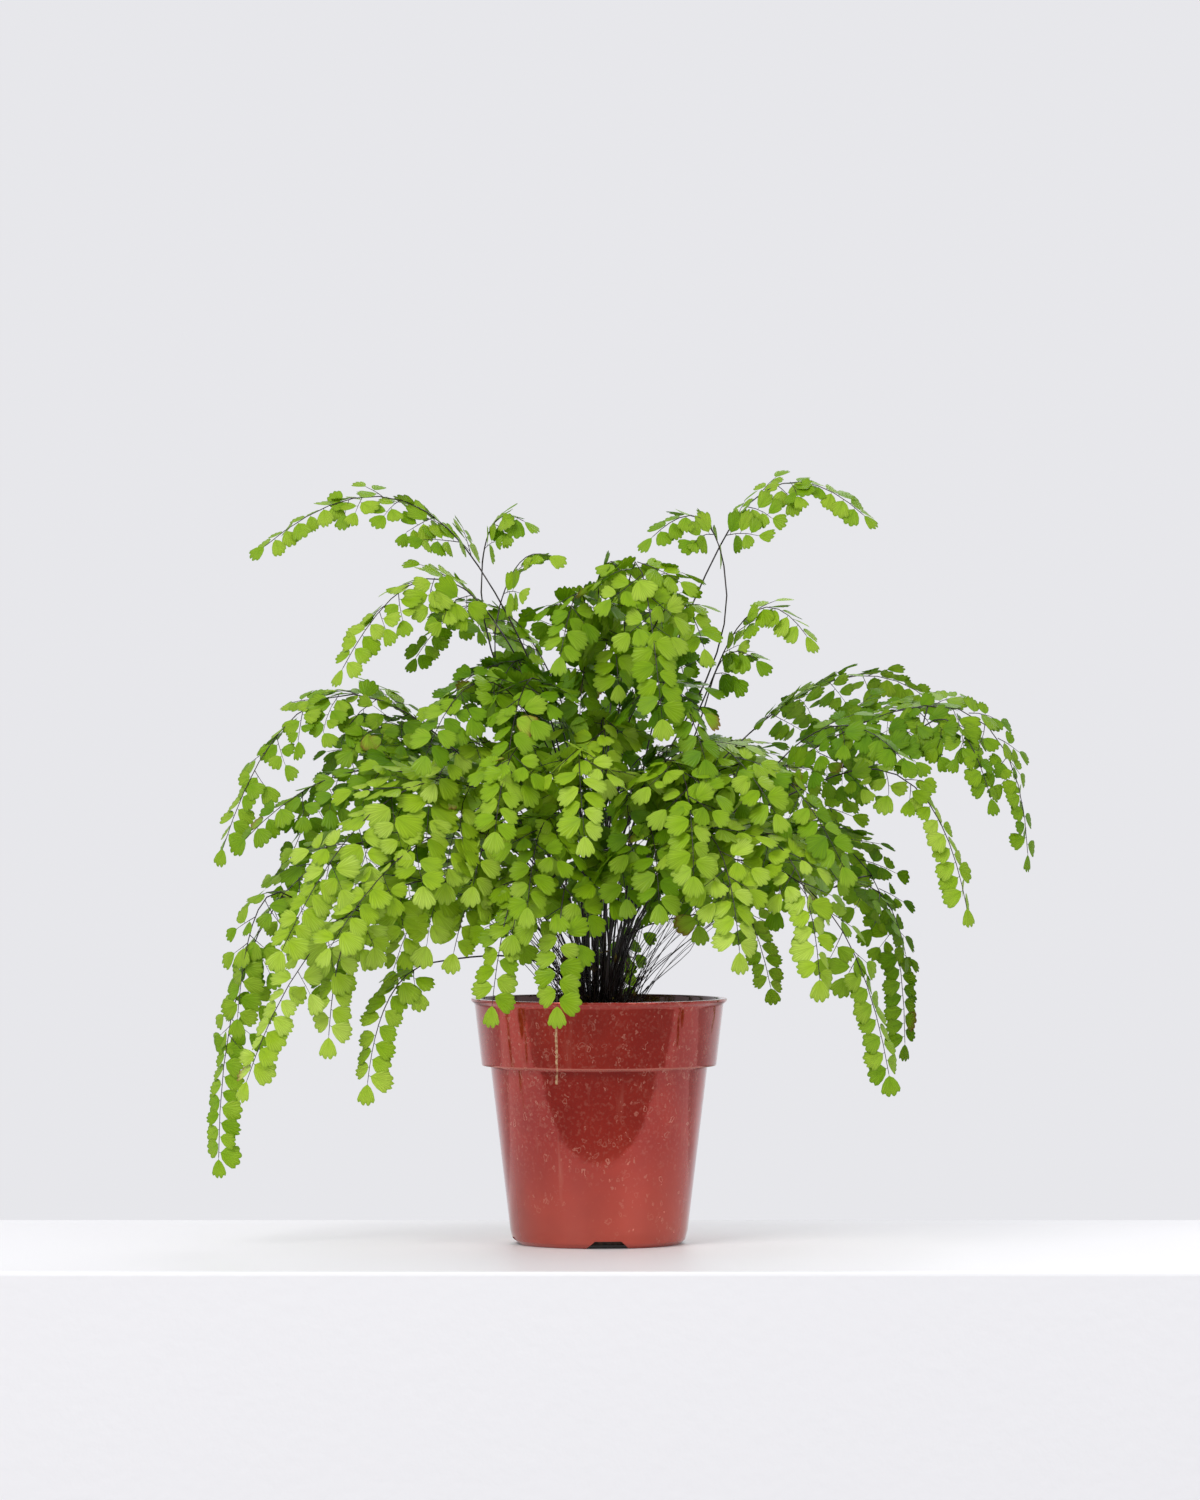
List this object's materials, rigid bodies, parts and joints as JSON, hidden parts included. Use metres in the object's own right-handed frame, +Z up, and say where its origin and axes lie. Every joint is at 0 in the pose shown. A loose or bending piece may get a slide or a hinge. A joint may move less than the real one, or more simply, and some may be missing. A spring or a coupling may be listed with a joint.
{
  "type": "potted maidenhair fern",
  "caption": "Maidenhair fern with arching fronds of fan leaflets on black wiry stalks, growing from soil in a glossy terracotta-coloured plastic nursery pot",
  "frame": {"origin": "middle of the pot's flat base, on the surface that it stands on", "axes": "+Z up; -Y towards the side shown as the front; +X to the right of it, along the fern's widest spread"},
  "size_m": [0.4315, 0.2988, 0.3935],
  "materials": {
    "pot": "glossy moulded plastic with lime spots, streaks and scuffs",
    "soil": "dark crumbly peat",
    "stalk": "black polished wiry stalks on a scaly brown-black crown",
    "leaf_young": "thin translucent yellow-green leaflets",
    "leaf_bright": "thin translucent bright green leaflets",
    "leaf_mid": "thin translucent mid green leaflets",
    "leaf_deep": "thin shaded deep green leaflets"
  },
  "bodies": {
    "root": {"pot": "pot", "soil": "soil", "crown": "stalk", "frond_top_left": "leaf_mid", "frond_top_left_inner": "leaf_mid", "frond_top_left_low": "leaf_bright", "frond_upper_left": "leaf_bright", "frond_left_upper": "leaf_mid", "frond_left_middle": "leaf_deep", "frond_left_front_a": "leaf_young", "frond_left_front_b": "leaf_young", "frond_left_low_a": "leaf_mid", "frond_left_low_b": "leaf_young", "frond_left_low_c": "leaf_bright", "frond_left_low_back": "leaf_deep", "frond_top_right": "leaf_mid", "frond_top_right_inner": "leaf_mid", "frond_top_right_low": "leaf_bright", "frond_right_spray": "leaf_deep", "frond_top_middle": "leaf_bright", "frond_top_middle_left": "leaf_mid", "frond_right_far": "leaf_deep", "frond_right_far_back": "leaf_mid", "frond_right_upper": "leaf_deep", "frond_right_hanging": "leaf_bright", "frond_right_low_back": "leaf_deep", "frond_right_low_edge": "leaf_mid", "frond_right_front_a": "leaf_young", "frond_right_front_b": "leaf_young", "frond_rim_front": "leaf_bright", "frond_rim_left": "leaf_bright", "frond_middle_front": "leaf_young", "frond_middle_left": "leaf_bright", "frond_middle_right": "leaf_bright", "frond_low_middle_right": "leaf_mid", "frond_low_middle_left": "leaf_bright", "frond_low_centre": "leaf_mid", "frond_low_right": "leaf_mid", "frond_high_middle_left": "leaf_mid", "frond_high_middle_right": "leaf_deep", "frond_inner_left": "leaf_mid", "frond_inner_right": "leaf_bright", "frond_right_middle": "leaf_mid", "frond_heart_left": "leaf_deep", "frond_heart_right": "leaf_deep", "frond_heart_high": "leaf_deep", "frond_heart_back": "leaf_deep", "frond_back_top_left": "leaf_mid", "frond_back_top_middle": "leaf_mid", "frond_back_top_right": "leaf_deep", "frond_back_left": "leaf_bright", "frond_back_middle": "leaf_mid", "frond_back_right": "leaf_bright", "frond_back_far_left": "leaf_deep", "frond_back_far_right": "leaf_bright", "frond_back_low_left": "leaf_mid", "frond_back_low_middle": "leaf_deep", "frond_back_low_right": "leaf_mid"}
  },
  "joints": []
}
